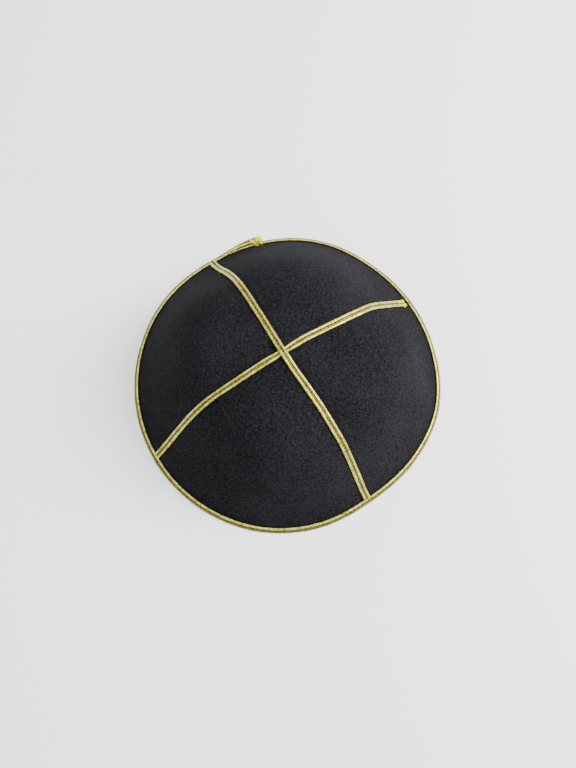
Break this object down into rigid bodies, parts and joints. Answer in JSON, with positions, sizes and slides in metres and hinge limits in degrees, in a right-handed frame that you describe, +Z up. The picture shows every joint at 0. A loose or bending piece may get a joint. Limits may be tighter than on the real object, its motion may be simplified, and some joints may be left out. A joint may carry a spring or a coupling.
{
  "type": "kippah skullcap",
  "caption": "Soft domed skullcap of suede panels with metallic braid over its crossing seams and around its rim, worn on the crown of the head.",
  "frame": {"origin": "on the surface that the rim rests on, below the middle of the outline seen from above", "axes": "+Z up through the crown, +Y towards the back of the cap, +X to its right; the four seams run near the diagonals"},
  "size_m": [0.1706, 0.173, 0.0536],
  "materials": {
    "suede": "black suede, dull short nap",
    "gold_braid": "gold metallic thread, braided"
  },
  "bodies": {
    "root": {"panel_back": "suede", "panel_right": "suede", "panel_front": "suede", "panel_left": "suede", "seam_braid_under": "gold_braid", "seam_braid_over": "gold_braid", "rim_braid": "gold_braid"}
  },
  "joints": []
}
